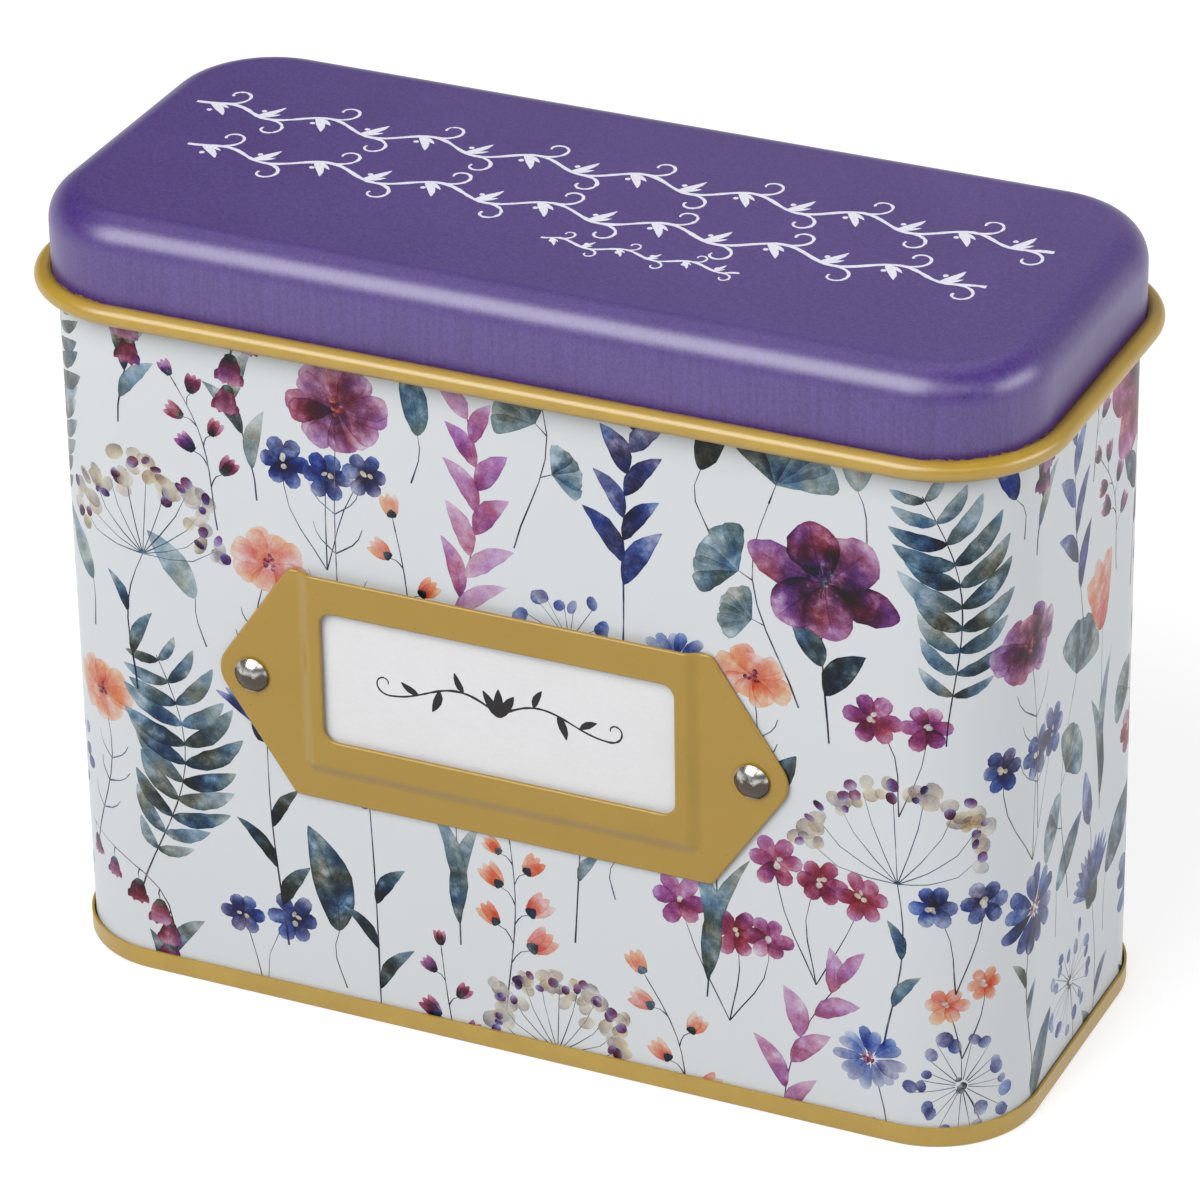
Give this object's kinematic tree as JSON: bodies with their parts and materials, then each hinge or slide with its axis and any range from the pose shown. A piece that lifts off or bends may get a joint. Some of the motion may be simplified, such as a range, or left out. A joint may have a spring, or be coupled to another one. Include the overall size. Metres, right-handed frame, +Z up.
{
  "type": "card tin",
  "caption": "Rounded tinplate box with a lift-off lid, a riveted label holder, and tabbed dividers and cards inside.",
  "frame": {"origin": "on the table, under the middle of the tin", "axes": "+X along the long side, to the right as seen from the front; +Z up, the way the lid lifts; -Y out of the front, where the label holder is"},
  "size_m": [0.1672, 0.0758, 0.1308],
  "materials": {
    "printed_tin": "gloss",
    "gold_lacquer": "satin",
    "purple_lacquer": "satin",
    "mustard_paint": "semi-gloss",
    "nickel": "polished",
    "white_card": "matt card",
    "lilac_card": "matt card",
    "blue_card": "matt card",
    "coral_card": "matt card",
    "plum_card": "matt card",
    "sage_card": "matt card",
    "mustard_card": "matt card"
  },
  "bodies": {
    "body": {"body_wall": "printed_tin", "base_panel": "gold_lacquer", "label_holder": "mustard_paint", "rivet_left": "nickel", "rivet_right": "nickel"},
    "lid": {"lid": "purple_lacquer"},
    "label_card": {"label_card": "white_card"},
    "divider_1": {"divider_1": "lilac_card"},
    "divider_2": {"divider_2": "blue_card"},
    "divider_3": {"divider_3": "coral_card"},
    "divider_4": {"divider_4": "plum_card"},
    "divider_5": {"divider_5": "sage_card"},
    "divider_6": {"divider_6": "mustard_card"},
    "card_pack_1": {"card_pack_1": "white_card"},
    "card_pack_2": {"card_pack_2": "white_card"},
    "card_pack_3": {"card_pack_3": "white_card"},
    "card_pack_4": {"card_pack_4": "white_card"},
    "card_pack_5": {"card_pack_5": "white_card"},
    "card_pack_6": {"card_pack_6": "white_card"}
  },
  "joints": [
    {"name": "lid_lift", "type": "slide", "parent": "body", "child": "lid", "axis": [0, 0, 1], "range_m": [0, 0.08]},
    {"name": "label_card_lift", "type": "slide", "parent": "body", "child": "label_card", "axis": [0, 0, 1], "range_m": [0, 0.035]},
    {"name": "cards_lean", "type": "hinge", "parent": "body", "child": "card_pack_6", "pos_m": [0, 0.00107, 0.0031], "axis": [-1, 0, 0], "range_deg": [0, 14]},
    {"name": "divider_6_lean", "type": "hinge", "parent": "body", "child": "divider_6", "pos_m": [0, -0.00283, 0.0031], "axis": [-1, 0, 0], "range_deg": [0, 12.84]},
    {"name": "card_pack_5_lean", "type": "hinge", "parent": "body", "child": "card_pack_5", "pos_m": [0, -0.00353, 0.0031], "axis": [-1, 0, 0], "range_deg": [0, 11.67]},
    {"name": "divider_5_lean", "type": "hinge", "parent": "body", "child": "divider_5", "pos_m": [0, -0.00743, 0.0031], "axis": [-1, 0, 0], "range_deg": [0, 10.51]},
    {"name": "card_pack_4_lean", "type": "hinge", "parent": "body", "child": "card_pack_4", "pos_m": [0, -0.00813, 0.0031], "axis": [-1, 0, 0], "range_deg": [0, 9.34]},
    {"name": "divider_4_lean", "type": "hinge", "parent": "body", "child": "divider_4", "pos_m": [0, -0.01203, 0.0031], "axis": [-1, 0, 0], "range_deg": [0, 8.17]},
    {"name": "card_pack_3_lean", "type": "hinge", "parent": "body", "child": "card_pack_3", "pos_m": [0, -0.01273, 0.0031], "axis": [-1, 0, 0], "range_deg": [0, 7.01]},
    {"name": "divider_3_lean", "type": "hinge", "parent": "body", "child": "divider_3", "pos_m": [0, -0.01663, 0.0031], "axis": [-1, 0, 0], "range_deg": [0, 5.84]},
    {"name": "card_pack_2_lean", "type": "hinge", "parent": "body", "child": "card_pack_2", "pos_m": [0, -0.01733, 0.0031], "axis": [-1, 0, 0], "range_deg": [0, 4.67]},
    {"name": "divider_2_lean", "type": "hinge", "parent": "body", "child": "divider_2", "pos_m": [0, -0.02123, 0.0031], "axis": [-1, 0, 0], "range_deg": [0, 3.51]},
    {"name": "card_pack_1_lean", "type": "hinge", "parent": "body", "child": "card_pack_1", "pos_m": [0, -0.02193, 0.0031], "axis": [-1, 0, 0], "range_deg": [0, 2.34]},
    {"name": "divider_1_lean", "type": "hinge", "parent": "body", "child": "divider_1", "pos_m": [0, -0.02583, 0.0031], "axis": [-1, 0, 0], "range_deg": [0, 1.17]}
  ],
  "couplings": [
    {"joint": "divider_6_lean", "follows": "cards_lean", "ratio": 0.91667},
    {"joint": "card_pack_5_lean", "follows": "cards_lean", "ratio": 0.83333},
    {"joint": "divider_5_lean", "follows": "cards_lean", "ratio": 0.75},
    {"joint": "card_pack_4_lean", "follows": "cards_lean", "ratio": 0.66667},
    {"joint": "divider_4_lean", "follows": "cards_lean", "ratio": 0.58333},
    {"joint": "card_pack_3_lean", "follows": "cards_lean", "ratio": 0.5},
    {"joint": "divider_3_lean", "follows": "cards_lean", "ratio": 0.41667},
    {"joint": "card_pack_2_lean", "follows": "cards_lean", "ratio": 0.33333},
    {"joint": "divider_2_lean", "follows": "cards_lean", "ratio": 0.25},
    {"joint": "card_pack_1_lean", "follows": "cards_lean", "ratio": 0.16667},
    {"joint": "divider_1_lean", "follows": "cards_lean", "ratio": 0.083333}
  ]
}
